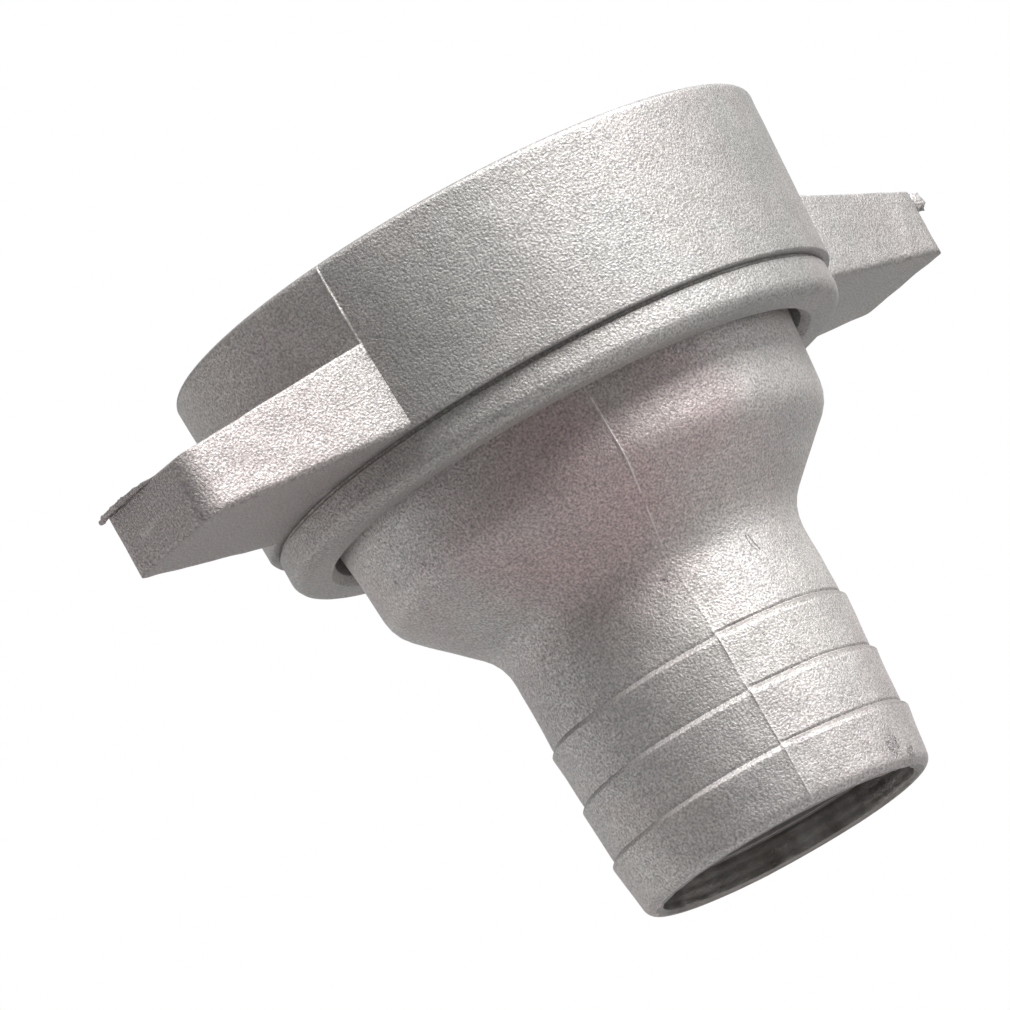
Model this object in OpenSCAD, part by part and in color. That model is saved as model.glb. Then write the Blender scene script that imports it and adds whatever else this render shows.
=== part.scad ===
// Pump hose connector: a wing nut with an internal pipe thread, a reducing hose tail and a gasket.
// Millimetres. The origin is the centre of the nut's open rim, +Z points towards the pump,
// and the hose mouth points down. The nut, the collar and the gasket are sized from the thread.

/* [Pump thread] */
// Minor radius of the internal pipe thread, the wall radius of its bore
thread_minor_r = 42.46; // [38:0.02:50]
// Distance from one turn of the thread to the next
thread_pitch = 2.309; // [1.8:0.001:2.8]
// Depth of the thread's groove, from the minor to the major radius
thread_depth = 1.479; // [1:0.001:1.8]
// Height of the chamfer that leads into the thread
thread_lead = 1.0; // [0.6:0.1:2]
// Height of the runout space between the end of the thread and the lip
runout_h = 9.5; // [6:0.5:14]
// Depth of the runout space outside the thread's minor radius
runout_depth = 2.04; // [1.6:0.02:3]

/* [Coupling nut] */
// Wall of the nut at its rim, outside the thread's minor radius
rim_wall = 7.54; // [6:0.02:12]
// Draft of the skirt: how much less its radius is at its lower end
skirt_draft = 1.5; // [0.2:0.1:2]
// Height of the skirt from the rim down to the lip ring
skirt_h = 28.5; // [22:0.5:40]
// Rounding of the outer edge of the rim
rim_round = 1.0; // [0.4:0.1:1.6]
// How far the lip ring stands in from the skirt's lower end
lip_step = 1.2; // [0.6:0.1:2]
// Height of the lip ring
lip_h = 6.5; // [5:0.5:9]
// Rounding of the lower outer corner of the lip ring
lip_round = 2.4; // [1:0.1:3.4]
// How far the lip reaches in past the thread, to carry the collar
lip_ledge = 2.16; // [1.4:0.02:4]
// Chamfer of the lower edge of the hole in the lip
lip_chamfer = 1.2; // [0.4:0.1:1.4]
// Depth of the fine groove between the skirt and the lip ring
groove_depth = 0.6; // [0.3:0.1:1]
// Height of the fine groove between the skirt and the lip ring
groove_h = 0.5; // [0.4:0.1:1.2]

/* [Lugs] */
// Reach of the lug's end face past the rim's radius
lug_reach = 29; // [15:1:45]
// Half width of the lug at its end
lug_tip_half = 11.5; // [8:0.5:20]
// Half width of the lug where it meets the skirt
lug_root_half = 21; // [20:0.5:32]
// How far inside the rim's radius the lug has its root width
lug_root_inset = 8; // [6:0.5:10]
// Height of the lug at the skirt
lug_root_h = 14.3; // [10:0.1:18]
// Height of the lug at its end
lug_tip_h = 10.5; // [7:0.1:15]
// Rounding of the lug's upright corners
lug_corner_r = 2.2; // [0.5:0.1:4]
// Direction of the first lug about the axis
lug_angle = 0; // [0:5:175]

/* [Hose tail] */
// Radial clearance of the collar inside the thread
collar_clearance = 0.36; // [0.2:0.02:0.5]
// Thickness of the collar that seats on the lip
collar_h = 4.2; // [3:0.2:5]
// Gap between the collar and the lip it seats on
seat_gap = 0.2; // [0.1:0.05:0.3]
// Radial clearance of the bell inside the hole in the lip
bell_clearance = 0.9; // [0.8:0.1:1.8]
// Draft of the bell: how much less its radius is at the shoulder
bell_draft = 1.7; // [0.5:0.1:3]
// Length of the bell from the collar to the middle of the rounded shoulder
bell_length = 18.5; // [16:0.1:30]
// Angle between the shoulder cone and the axis
shoulder_angle = 46; // [40:1:52]
// Convex rounding between the bell and the shoulder
shoulder_round = 6.5; // [3:0.5:8]
// Concave rounding between the shoulder and the neck
neck_round = 9; // [4:0.5:12]
// Outer radius of the neck, which is also the root radius of the barbs
neck_r = 24.9; // [20:0.1:27]
// Length from the middle of the shoulder to the first barb
neck_length = 27.8; // [26:0.2:40]

/* [Barbs] */
// Number of barbs
barb_count = 3; // [1:1:6]
// Distance from one barb to the next
barb_pitch = 9.6; // [6:0.1:14]
// Height of a barb's crest above the neck
barb_height = 0.65; // [0.3:0.05:1.5]
// Length of the short ramp on the steep side of a barb
barb_ramp = 0.8; // [0.4:0.1:1.5]
// Length of the tail from the crest of the last barb to the mouth
mouth_length = 9.3; // [7:0.1:16]
// How much less the radius is at the mouth than at the neck
mouth_taper = 0.7; // [0.2:0.1:1.4]
// Outer rounding of the mouth
mouth_round = 1.9; // [0.6:0.1:2.2]

/* [Waterway] */
// Wall thickness of the neck and the barbs, at their root radius
neck_wall = 3.7; // [3:0.1:4.2]
// Wall thickness of the bell and the shoulder
bell_wall = 3.6; // [2.8:0.1:4.2]
// Length of the wider first stretch of the bore at the mouth
mouth_step_length = 5; // [2:0.5:7]
// Depth of that wider stretch
mouth_step = 0.45; // [0.2:0.05:0.7]

/* [Gasket] */
// Thickness of the gasket
gasket_h = 4; // [2:0.2:4.2]
// Radial clearance of the gasket inside the thread
gasket_clearance = 0.46; // [0.3:0.02:0.8]
// Width of the ring, from its hole to its outer edge
gasket_width = 8; // [6:0.2:10]
// Rounding of the gasket's edges
gasket_round = 0.7; // [0.3:0.1:0.9]
// Gap between the gasket and the collar it lies on
gasket_gap = 0.1; // [0.05:0.05:0.3]

/* [Hidden] */

// Fineness of the turned surfaces, which are true surfaces at any value
$fn = 180;
// Overshoot of a cutting shape past the face that it cuts
cut = 1;
// Outer radius of the nut at its open rim
nut_rim_r = thread_minor_r + rim_wall;
// Outer radius of the skirt at its lower end
skirt_low_r = nut_rim_r - skirt_draft;
// Outer radius of the lip ring below the skirt
lip_r = skirt_low_r - lip_step;
// Radius of the hole in the lip that the bell passes through
lip_hole_r = thread_minor_r - lip_ledge;
// Depth from the rim to the lower face of the nut
nut_h = skirt_h + lip_h;
// Depth from the rim to the end of the thread
thread_end = skirt_h - runout_h;
// Radius at the bottom of the thread's groove
thread_major_r = thread_minor_r + thread_depth;
// Radius of the runout space
runout_r = thread_minor_r + runout_depth;
// Straight pieces in one turn of the thread
turn_steps = 40;
// How far the lead chamfer opens past the thread's major radius at the rim
lead_past = 0.05;
// Outer radius of the collar, which passes through the thread
collar_r = thread_minor_r - collar_clearance;
// Depth from the rim to the collar's lower face, just clear of the lip
collar_low = skirt_h - seat_gap;
// Depth from the rim to the collar's upper face
collar_top = collar_low - collar_h;
// Outer radius of the bell where it leaves the collar
bell_top_r = lip_hole_r - bell_clearance;
// Outer radius of the bell just above the shoulder
bell_low_r = bell_top_r - bell_draft;
// Depth from the rim to the middle of the shoulder
shoulder_depth = collar_low + bell_length;
// Depth from the rim to the first barb
first_barb_depth = shoulder_depth + neck_length;
// Depth from the rim to the mouth
mouth_depth = first_barb_depth + (barb_count - 1) * barb_pitch + barb_ramp + mouth_length;
// Radius of the bore through the neck
bore_r = neck_r - neck_wall;
// Outer radius of the gasket
gasket_r = thread_minor_r - gasket_clearance;
// Depth from the rim to the gasket's lower face
gasket_low = collar_top - gasket_gap;
// Number of straight pieces in a rounded corner of a turned outline
arc_steps = 10;

// Corner of an outline with its rounding: [radius from the axis, height, rounding]
function corner(r, z, round = 0) = [r, z, round];

// Unit vector from one point of a plane to another
function toward(a, b) = (b - a) / norm(b - a);
function flat(p) = [p[0], p[1]];

// Points of one rounded corner q between its neighbours p and s
function rounded(p, q, s) =
    q[2] == 0 ? [flat(q)] :
    let (
        u = toward(flat(q), flat(p)),
        v = toward(flat(q), flat(s)),
        half = acos(u * v) / 2,
        reach = q[2] / tan(half),
        centre = flat(q) + toward([0, 0], u + v) * q[2] / sin(half),
        from = flat(q) + u * reach - centre,
        to = flat(q) + v * reach - centre,
        turn = 180 - 2 * half,
        way = from[0] * to[1] - from[1] * to[0] > 0 ? 1 : -1
    )
    [for (i = [0 : arc_steps])
        let (a = way * turn * i / arc_steps)
        centre + [from[0] * cos(a) - from[1] * sin(a), from[0] * sin(a) + from[1] * cos(a)]];

// Outline with all its corners rounded
function outline(corners) = [
    for (i = [0 : len(corners) - 1])
        let (n = len(corners))
        each rounded(corners[(i + n - 1) % n], corners[i], corners[(i + 1) % n])
];

// Solid turned about the axis from a list of corners
module turned(corners) {
    rotate_extrude() polygon(outline(corners));
}

// Section of the thread's groove, as [radius, height from its middle]. The flanks stand 55 degrees
// apart, the crest and the root are each a sixth of the pitch wide, and the section goes on a little
// way into the open bore
function groove_section() =
    let (
        into_bore = thread_depth / 6,
        slope = thread_pitch / 3 / thread_depth,
        root_half = thread_pitch / 12,
        mouth_half = root_half + (thread_depth + into_bore) * slope
    )
    [
        [thread_minor_r - into_bore, -mouth_half],
        [thread_major_r, -root_half],
        [thread_major_r, root_half],
        [thread_minor_r - into_bore, mouth_half]
    ];

// Solid swept down a right-hand helix of the thread's pitch, from one height to another
module helix_sweep(section, top, bottom) {
    n = len(section);
    steps = ceil((top - bottom) / thread_pitch * turn_steps);
    points = [
        for (i = [0 : steps])
            let (z = top - (top - bottom) * i / steps, a = 360 * z / thread_pitch)
            for (p = section) [p[0] * cos(a), p[0] * sin(a), z + p[1]]
    ];
    sides = [
        for (i = [0 : steps - 1], k = [0 : n - 1])
            let (here = n * i + k, next = n * i + (k + 1) % n)
            each [[here, next + n, next], [here, here + n, next + n]]
    ];
    first_end = [for (k = [0 : n - 1]) k];
    last_end = [for (k = [n - 1 : -1 : 0]) n * steps + k];
    polyhedron(points, concat(sides, [first_end, last_end]));
}

// Groove of the pump thread, from just above the rim to just inside the runout
module thread_groove() {
    helix_sweep(groove_section(), thread_pitch / 2, -thread_end - thread_depth - thread_pitch / 6);
}

// Skirt, groove and lip ring, without the bore
module nut_body() {
    turned([
        corner(0, 0),
        corner(nut_rim_r, 0, rim_round),
        corner(skirt_low_r, -skirt_h, 0.3),
        corner(lip_r - groove_depth, -skirt_h, 0.2),
        corner(lip_r - groove_depth, -skirt_h - groove_h),
        corner(lip_r, -skirt_h - groove_h, 0.2),
        corner(lip_r, -nut_h, lip_round),
        corner(0, -nut_h)
    ]);
}

// Plan of one lug, pointing along +X, with rounded corners at its end
module lug_plan() {
    tip_r = nut_rim_r + lug_reach;
    root_r = nut_rim_r - lug_root_inset;
    polygon(outline([
        corner(0, lug_root_half),
        corner(0, -lug_root_half),
        corner(root_r, -lug_root_half),
        corner(tip_r, -lug_tip_half, lug_corner_r),
        corner(tip_r, lug_tip_half, lug_corner_r),
        corner(root_r, lug_root_half)
    ]));
}

// Side view of one lug: its top slopes down to the end and its underside is level with the skirt's
module lug_side() {
    slope = (lug_root_h - lug_tip_h) / lug_reach;
    tip_x = nut_rim_r + lug_reach + cut;
    polygon([
        [0, -skirt_h + lug_root_h + slope * nut_rim_r],
        [tip_x, -skirt_h + lug_tip_h - slope * cut],
        [tip_x, -skirt_h],
        [0, -skirt_h]
    ]);
}

// One cast lug, running into the skirt
module lug() {
    intersection() {
        translate([0, 0, -nut_h]) linear_extrude(nut_h) lug_plan();
        rotate([90, 0, 0])
            translate([0, 0, -lug_root_half - cut]) linear_extrude(2 * (lug_root_half + cut)) lug_side();
    }
}

// Space cut through the nut: lead-in, thread bore, runout and the hole in the lip
module nut_bore() {
    lead_slope = (thread_depth + lead_past) / thread_lead;
    turned([
        corner(0, cut),
        corner(thread_minor_r + lead_slope * (thread_lead + cut), cut),
        corner(thread_minor_r, -thread_lead),
        corner(thread_minor_r, -thread_end),
        corner(runout_r, -thread_end - runout_depth),
        corner(runout_r, -skirt_h, 0.8),
        corner(lip_hole_r, -skirt_h),
        corner(lip_hole_r, -nut_h + lip_chamfer),
        corner(lip_hole_r + lip_chamfer + cut, -nut_h - cut),
        corner(0, -nut_h - cut)
    ]);
}

module coupling_nut() {
    color([0.70, 0.68, 0.66])
    difference() {
        union() {
            nut_body();
            for (side = [0, 180]) rotate([0, 0, lug_angle + side]) lug();
        }
        nut_bore();
        thread_groove();
    }
}

// Flat ring that seals between the pump's end face and the collar
module gasket() {
    color([0.08, 0.08, 0.085])
    turned([
        corner(gasket_r - gasket_width, -gasket_low, gasket_round),
        corner(gasket_r, -gasket_low, gasket_round),
        corner(gasket_r, -gasket_low + gasket_h, gasket_round),
        corner(gasket_r - gasket_width, -gasket_low + gasket_h, gasket_round)
    ]);
}

// Corners of one barb: a short steep ramp out to the crest, then a long taper back to the neck's radius
function barb_corners(i) =
    let (z = -first_barb_depth - i * barb_pitch)
    [
        corner(neck_r, z, 0.2),
        corner(neck_r + barb_height, z - barb_ramp, 0.25)
    ];

// Outside of the tail, filled to the axis
module tail_outside() {
    shoulder_rise = (bell_low_r - neck_r) / tan(shoulder_angle);
    turned(concat(
        [
            corner(0, -collar_top),
            corner(collar_r, -collar_top, 0.5),
            corner(collar_r, -collar_low, 0.4),
            corner(bell_top_r, -collar_low, 0.3),
            corner(bell_low_r, -shoulder_depth, shoulder_round),
            corner(neck_r, -shoulder_depth - shoulder_rise, neck_round)
        ],
        [for (i = [0 : barb_count - 1]) each barb_corners(i)],
        [
            corner(neck_r - mouth_taper, -mouth_depth, mouth_round),
            corner(0, -mouth_depth)
        ]
    ));
}

// Waterway through the tail: bell, cone, bore and the wider stretch at the mouth
module tail_waterway() {
    inner_top_r = bell_top_r - bell_wall;
    inner_low_r = bell_low_r - bell_wall;
    inner_shoulder = shoulder_depth - bell_wall * tan((90 - shoulder_angle) / 2);
    inner_rise = (inner_low_r - bore_r) / tan(shoulder_angle);
    turned([
        corner(0, -collar_top + cut),
        corner(inner_top_r, -collar_top + cut),
        corner(inner_low_r, -inner_shoulder, shoulder_round - bell_wall / 2),
        corner(bore_r, -inner_shoulder - inner_rise, neck_round),
        corner(bore_r, -mouth_depth + mouth_step_length, 0.3),
        corner(bore_r + mouth_step, -mouth_depth + mouth_step_length, 0.15),
        corner(bore_r + mouth_step, -mouth_depth + mouth_step),
        corner(bore_r + 2 * mouth_step + cut, -mouth_depth - cut),
        corner(0, -mouth_depth - cut)
    ]);
}

module hose_tail() {
    color([0.66, 0.64, 0.62])
    difference() {
        tail_outside();
        tail_waterway();
    }
}

coupling_nut();
gasket();
hose_tail();
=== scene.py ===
"""Looks of a pump hose connector: a cast wing nut, a barbed hose tail and a rubber gasket.

Sizes of the part are millimetres and become metres where a mesh is made; the stage and the lamps are in
metres. A depth is measured down from the nut's rim, so it is a height with its sign turned.
"""

import math

import bmesh
import bpy
import numpy as np
from mathutils import Matrix, Vector


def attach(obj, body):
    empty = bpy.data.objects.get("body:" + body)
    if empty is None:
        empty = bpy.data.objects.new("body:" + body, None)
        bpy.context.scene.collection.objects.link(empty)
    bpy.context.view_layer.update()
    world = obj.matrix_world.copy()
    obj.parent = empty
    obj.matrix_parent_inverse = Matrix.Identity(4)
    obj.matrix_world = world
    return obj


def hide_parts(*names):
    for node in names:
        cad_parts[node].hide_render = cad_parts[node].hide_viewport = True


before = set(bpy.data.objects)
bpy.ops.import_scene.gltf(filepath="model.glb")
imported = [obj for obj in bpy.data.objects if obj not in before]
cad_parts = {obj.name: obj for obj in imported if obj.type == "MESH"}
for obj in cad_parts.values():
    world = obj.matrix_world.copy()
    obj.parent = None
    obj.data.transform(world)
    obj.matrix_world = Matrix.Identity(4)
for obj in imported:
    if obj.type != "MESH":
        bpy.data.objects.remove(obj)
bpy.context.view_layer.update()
MM = 0.001

# Camera: the part's axes as the photograph shows them
PHOTO_SIZE = 1010
FOCAL_PX = 11000
SENSOR_WIDTH = 36.0
CAMERA_DISTANCE = 1680.0
# Image direction of the part's axis from the rim to the mouth, clockwise from the image's right
AXIS_ANGLE = math.radians(61.0)
# Lean of the mouth towards the camera
AXIS_LEAN = math.radians(9.97)
# Turn of the near lug out of the image plane, towards the camera
LUG_TURN = math.radians(41.5)
# Centre of the nut's rim in the photograph, in pixels right of and below the middle
RIM_CENTRE_PX = (-42.4, -253.7)


def photo_axes():
    """Sideways, near and mouthward directions of the photograph, in the part's frame."""
    side = Vector((math.cos(LUG_TURN), -math.sin(LUG_TURN), 0))
    near = Vector((math.sin(LUG_TURN), math.cos(LUG_TURN), 0))
    mouthward = Vector((0, 0, -1))
    return side, near, mouthward


def from_image(x, y, depth):
    """Vector given as image right, image down and away from the camera, in the part's frame."""
    seen = Vector((x, y, depth))
    side_seen = Vector((-math.sin(AXIS_ANGLE), math.cos(AXIS_ANGLE), 0))
    along = Vector((math.cos(AXIS_ANGLE), math.sin(AXIS_ANGLE), 0))
    near_seen = -along * math.sin(AXIS_LEAN) - Vector((0, 0, math.cos(AXIS_LEAN)))
    mouth_seen = along * math.cos(AXIS_LEAN) - Vector((0, 0, math.sin(AXIS_LEAN)))
    side, near, mouthward = photo_axes()
    return side * seen.dot(side_seen) + near * seen.dot(near_seen) + mouthward * seen.dot(mouth_seen)


def make_camera():
    """Camera that sees the rim's centre where the photograph has it."""
    mm_per_px = CAMERA_DISTANCE / FOCAL_PX
    right_px, down_px = RIM_CENTRE_PX
    rim_centre = from_image(right_px * mm_per_px, down_px * mm_per_px, CAMERA_DISTANCE)
    data = bpy.data.cameras.new("photo_camera")
    data.sensor_width = SENSOR_WIDTH
    data.lens = SENSOR_WIDTH * FOCAL_PX / PHOTO_SIZE
    camera = bpy.data.objects.new("photo_camera", data)
    turn = Matrix((from_image(1, 0, 0), from_image(0, -1, 0), from_image(0, 0, -1))).transposed()
    camera.matrix_world = Matrix.Translation(-rim_centre * MM) @ turn.to_4x4()
    bpy.context.scene.collection.objects.link(camera)
    bpy.context.scene.camera = camera


make_camera()

# The nut, with the CAD model's radii and heights
RIM_R = 50.0
RIM_ROUND = 1.0
SKIRT_LOW_R = 48.5
SKIRT_H = 28.5
GROOVE_DEPTH = 0.6
GROOVE_LOW = SKIRT_H + 0.5
LIP_R = 47.3
LIP_ROUND = 2.4
LIP_HOLE_R = 40.3
LIP_CHAMFER = 1.2
NUT_H = 35.0
THREAD_PITCH = 2.309
THREAD_DEPTH = 1.479
THREAD_MINOR_R = 42.46
THREAD_MAJOR_R = THREAD_MINOR_R + THREAD_DEPTH
THREAD_LEAD = 1.0
THREAD_END = 19.0
# How far the lead chamfer opens past the thread's major radius at the rim
LEAD_PAST = 0.05
RUNOUT_R = 44.5
RUNOUT_TOP = 21.04

# The tail, with the CAD model's radii and heights
COLLAR_R = 42.1
COLLAR_TOP = 24.1
COLLAR_LOW = 28.3
BELL_TOP_R = 39.4
BELL_LOW_R = 37.7
SHOULDER_DEPTH = 46.8
SHOULDER_ROUND = 6.5
NECK_R = 24.9
NECK_DEPTH = 59.16
NECK_ROUND = 9
MOUTH_R = 24.2
MOUTH_ROUND = 1.9
MOUTH_DEPTH = 103.9
# Waterway: the wider first stretch at the mouth, the neck and the bell
MOUTH_STEP_R = 21.65
MOUTH_STEP_DEPTH = 98.9
MOUTH_CHAMFER = 0.45
BORE_R = 21.2
BORE_NECK_DEPTH = 57.8
BORE_NECK_ROUND = 9
BORE_BELL_LOW_R = 34.1
BORE_BELL_DEPTH = 45.35
BORE_BELL_ROUND = 4.7
BORE_BELL_TOP_R = 35.8

# The barbs. Their crests are softer and their ramps a little shorter than in the CAD model
BARB_COUNT = 3
BARB_PITCH = 9.6
FIRST_BARB_DEPTH = 74.6
BARBS = [FIRST_BARB_DEPTH + i * BARB_PITCH for i in range(BARB_COUNT)]
BARB_HEIGHT = 0.65
BARB_RAMP = 0.75
BARB_ROUND = 0.5
# The fine crease at the foot of each barb, which the CAD model leaves out
CREASE_WIDTH = 0.45
CREASE_DEPTH = 0.13

# The gasket, 0.2 mm lower than in the CAD model, so that it dips 0.1 mm into the collar's top
GASKET_HOLE_R = 34
GASKET_R = 42
GASKET_TOP = 20.2
GASKET_LOW = 24.2
GASKET_ROUND = 0.7

# Outlines of the turned pieces, as corners of (radius, height, rounding). Roundings up to 0.5 mm are partly
# the scene's own: the CAD model has other small ones there, or sharp edges
NUT_OUTLINE = [
    (RIM_R, 0, RIM_ROUND), (SKIRT_LOW_R, -SKIRT_H, 0.4), (LIP_R - GROOVE_DEPTH, -SKIRT_H, 0.15),
    (LIP_R - GROOVE_DEPTH, -GROOVE_LOW, 0.15), (LIP_R, -GROOVE_LOW, 0.3), (LIP_R, -NUT_H, LIP_ROUND),
    (LIP_HOLE_R + LIP_CHAMFER, -NUT_H, 0.5), (LIP_HOLE_R, -NUT_H + LIP_CHAMFER, 0.4),
    (LIP_HOLE_R, -SKIRT_H, 0.3), (RUNOUT_R, -SKIRT_H, 0.8), (RUNOUT_R, -RUNOUT_TOP, 0.5),
    (THREAD_MINOR_R, -THREAD_END, 0), (THREAD_MINOR_R, -THREAD_LEAD, 0),
    (THREAD_MAJOR_R + LEAD_PAST, 0, 0.3),
]
COLLAR_TO_NECK = [
    (COLLAR_R, -COLLAR_TOP, 0.5), (COLLAR_R, -COLLAR_LOW, 0.4), (BELL_TOP_R, -COLLAR_LOW, 0.3),
    (BELL_LOW_R, -SHOULDER_DEPTH, SHOULDER_ROUND), (NECK_R, -NECK_DEPTH, NECK_ROUND),
]
BARB_STEPS = [
    corner for depth in BARBS
    for corner in (
        (NECK_R, -depth + CREASE_WIDTH, 0.06), (NECK_R - CREASE_DEPTH, -depth, 0.05),
        (NECK_R + BARB_HEIGHT, -depth - BARB_RAMP, BARB_ROUND),
    )
]
MOUTH_AND_WATERWAY = [
    (MOUTH_R, -MOUTH_DEPTH, MOUTH_ROUND), (MOUTH_STEP_R + MOUTH_CHAMFER, -MOUTH_DEPTH, 0.25),
    (MOUTH_STEP_R, -MOUTH_DEPTH + MOUTH_CHAMFER, 0.2), (MOUTH_STEP_R, -MOUTH_STEP_DEPTH, 0.15),
    (BORE_R, -MOUTH_STEP_DEPTH, 0.3), (BORE_R, -BORE_NECK_DEPTH, BORE_NECK_ROUND),
    (BORE_BELL_LOW_R, -BORE_BELL_DEPTH, BORE_BELL_ROUND), (BORE_BELL_TOP_R, -COLLAR_TOP, 0.4),
]
TAIL_OUTLINE = COLLAR_TO_NECK + BARB_STEPS + MOUTH_AND_WATERWAY
GASKET_OUTLINE = [
    (GASKET_HOLE_R, -GASKET_LOW, GASKET_ROUND), (GASKET_R, -GASKET_LOW, GASKET_ROUND),
    (GASKET_R, -GASKET_TOP, GASKET_ROUND), (GASKET_HOLE_R, -GASKET_TOP, GASKET_ROUND),
]

# The lugs: reach of the end face, half widths, and depths of the upper side at the rim and at the end
LUG_TIP_R = 79.0
LUG_TIP_HALF = 11.5
LUG_ROOT_HALF = 21.0
LUG_ROOT_R = 42.0
LUG_TOP_ROOT = 14.2
LUG_TOP_TIP = 18.0
# Rounding of a lug's upright corners, which are rounder than in the CAD model, and of its other edges,
# which are sharp there
LUG_CORNER_ROUND = 3.2
LUG_END_ROUND = 0.7
LUG_TOP_ROUND = 0.45
LUG_BOTTOM_ROUND = 1.0
# Radius inside the nut's wall at which a lug's mesh starts, and the middle that its skin swells from
LUG_START_R = 46.9
LUG_MIDDLE = (60.0, 0.0, -23.0)
# Insets of the rows that close a lug's end face
LUG_END_INSETS = (0.3, 1.0, 2.2, 3.5)
# Flash on the upper edge of each lug's end: (out, sideways, up) from the middle of the edge, half sizes
NEAR_FLASH = [
    ((-0.6, 4.5, -0.1), (0.25, 0.15)), ((0.1, 0.5, 0.1), (0.5, 0.35)), ((0.3, -5, 0.1), (0.6, 0.45)),
    ((0.2, -9.5, 0.1), (0.65, 0.4)), ((-0.3, -12.2, -0.1), (0.6, 0.45)),
]
FAR_FLASH = [
    ((-0.2, -11.4, -1.3), (1.0, 1.3)), ((0.2, -10, -1.4), (1.15, 1.5)), ((-0.2, -8.2, -1.2), (0.9, 1.2)),
]

# Parting lines, by their turn about the axis
NUT_SEAMS = (math.radians(24.2), math.radians(155.8))
TAIL_SEAM = math.radians(59.5)
# Lean of the tail's seam about the axis for each mm of depth, and the depth that its turn is given at
SEAM_LEAN = math.radians(4.5) / 60
SEAM_DEPTH = 70
# Depths and heights of the tail's parting line: high on the bell, dressed off on the neck
TAIL_SEAM_HEIGHTS = [(33, 0), (36, 0.24), (55, 0.22), (60, 0.05), (72, 0.05), (76, 0.15), (MOUTH_DEPTH, 0.15)]
NUT_SEAM_HEIGHT = 0.24
# Depth above which the nut's parting line shows, over the lugs
NUT_SEAM_LOW = 17
# Depths and radii of the middle of the tail's wall
TAIL_WALL_MIDDLES = [(COLLAR_TOP, 39.0), (46.0, 36.0), (58.5, 23.2), (MOUTH_DEPTH, 22.9)]
NUT_WALL_MIDDLE_R = 45.5

# Unevenness of the cast skins, as layers of (height, wavelength)
TAIL_SKIN = ((0.10, 26), (0.035, 6))
NUT_SKIN = ((0.09, 28), (0.03, 7))
LUG_SKIN = ((0.10, 24), (0.05, 5))
FLASH_SKIN = ((0.22, 1.6), (0.10, 0.7))
MOUTH_SKIN = ((0.16, 2.6),)
BARB_WAVE = ((0.08, 20),)
GASKET_SKIN = ((0.04, 15),)

# Barbs at a seam: how far they stand proud and the reach of that, and the step between the mould halves
SEAM_PROUD = 0.30
SEAM_PROUD_REACH = 3.5
HALVES_STEP = 0.16
HALVES_STEP_WIDTH = 0.35
# Inner edge of the mouth, and its chips as (turn in degrees, depth, width)
MOUTH_EDGE_R = 22.0
MOUTH_CHIPS = [(117, 0.9, 1.5), (109, 0.5, 0.8)]
# Pits and scars on the tail: turn in degrees, depth, radius and size in mm
TAIL_SPOTS = [
    (1, 44, 37.9, 0.5), (22.5, 48.8, 36.6, 0.55), (-12.5, 43, 38.0, 0.5), (75.5, 77.8, 25.4, 0.45),
    (53.5, 63.8, 24.9, 0.6), (104, 100.9, 24.9, 2.2), (114, 102.4, 24.4, 1.6),
]
# Rosy patches on the tail: turn in degrees, depth, size and strength
BELL_R = 37.0
TAIL_BLUSHES = [(40, 50, 26, 0.95), (74, 43, 15, 0.7), (205, 47, 24, 0.8), (290, 44, 14, 0.6)]

# Edges sharper than this many degrees stay sharp
CAST_SHARP = 42
RUBBER_SHARP = 50


# Meshes
def rounded_outline(corners, steps=7):
    """Closed outline of (radius, height) points with each corner rounded by its own arc."""
    points = []
    count = len(corners)
    for i, (r, z, radius) in enumerate(corners):
        here = np.array((r, z))
        if radius == 0:
            points.append(here)
            continue
        before = np.array(corners[i - 1][:2]) - here
        after = np.array(corners[(i + 1) % count][:2]) - here
        before /= np.linalg.norm(before)
        after /= np.linalg.norm(after)
        half = math.acos(float(before @ after)) / 2
        reach = radius / math.tan(half)
        centre = here + (before + after) / np.linalg.norm(before + after) * radius / math.sin(half)
        start = here + before * reach - centre
        end = here + after * reach - centre
        turn = math.atan2(start[0] * end[1] - start[1] * end[0], start @ end)
        pieces = max(3, round(steps * abs(turn) / (math.pi / 2)))
        for k in range(pieces + 1):
            a = turn * k / pieces
            points.append(centre + (
                start[0] * math.cos(a) - start[1] * math.sin(a),
                start[0] * math.sin(a) + start[1] * math.cos(a),
            ))
    return np.array(points)


def walked(points, spacing):
    """The outline with points added so that no stretch is longer than spacing(its middle)."""
    out = []
    for i, here in enumerate(points):
        after = points[(i + 1) % len(points)]
        step = spacing((here + after) / 2)
        pieces = max(1, math.ceil(np.linalg.norm(after - here) / step))
        for k in range(pieces):
            out.append(here + (after - here) * k / pieces)
    return np.array(out)


def gap(angle, seam):
    """Signed turn from a seam to an angle, from -pi to pi."""
    return (np.asarray(angle) - seam + math.pi) % (2 * math.pi) - math.pi


def column_angles(count, seams=(), fine_step=0.0, fine_columns=0):
    """Even columns round the axis, with a bunch of close ones at each seam."""
    angles = list(np.linspace(0, 2 * math.pi, count, endpoint=False))
    for seam in seams:
        near = [seam + fine_step * k for k in range(-fine_columns, fine_columns + 1)]
        reach = fine_step * (fine_columns + 1)
        angles = [a for a in angles if abs(gap(a, seam)) > reach]
        angles += [a % (2 * math.pi) for a in near]
    return np.array(sorted(angles))


def ramp(value, start, length):
    """0 up to the start, then rising evenly to 1 over the length."""
    return np.clip((value - start) / length, 0, 1)


def ridge(across, width):
    """Height of a rounded ridge of unit height at a distance across it."""
    return np.exp(-(across / width) ** 2)


def at_depth(z, stations):
    """Value at a height, between values given as (depth, value)."""
    depths, values = zip(*stations)
    return np.interp(-z, depths, values)


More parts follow.
